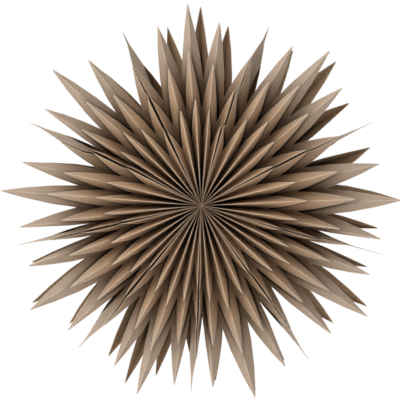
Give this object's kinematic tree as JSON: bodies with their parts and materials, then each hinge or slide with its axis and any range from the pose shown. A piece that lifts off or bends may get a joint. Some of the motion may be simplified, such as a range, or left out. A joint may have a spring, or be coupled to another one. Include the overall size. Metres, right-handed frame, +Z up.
{
  "type": "hanging paper star",
  "caption": "Fold-out hanging star of pleated paper: glued units of nested bags fan round an axis, and their cut mouths make tiers of spikes on both faces.",
  "frame": {"origin": "centre of the star, on the axis where all the units meet, at mid-thickness", "axes": "+Y along the star's axis, from its front to its back; +Z up as the star is shown; the star lies in the XZ plane and its front faces -Y"},
  "size_m": [0.5951, 0.144, 0.5849],
  "materials": {
    "paper": "matt uncoated taupe craft paper, lighter along folds and cut edges"
  },
  "bodies": {
    "root": {"short_bag_1": "paper", "short_bag_2": "paper", "short_bag_3": "paper", "short_bag_4": "paper", "short_bag_5": "paper", "short_bag_6": "paper", "short_bag_7": "paper", "short_bag_8": "paper", "short_bag_9": "paper", "middle_bag_1": "paper", "middle_bag_2": "paper", "middle_bag_3": "paper", "middle_bag_4": "paper", "middle_bag_5": "paper", "middle_bag_6": "paper", "middle_bag_7": "paper", "middle_bag_8": "paper", "middle_bag_9": "paper", "long_bag_1": "paper", "long_bag_2": "paper", "long_bag_3": "paper", "long_bag_4": "paper", "long_bag_5": "paper", "long_bag_6": "paper", "long_bag_7": "paper", "long_bag_8": "paper", "long_bag_9": "paper"}
  },
  "joints": []
}
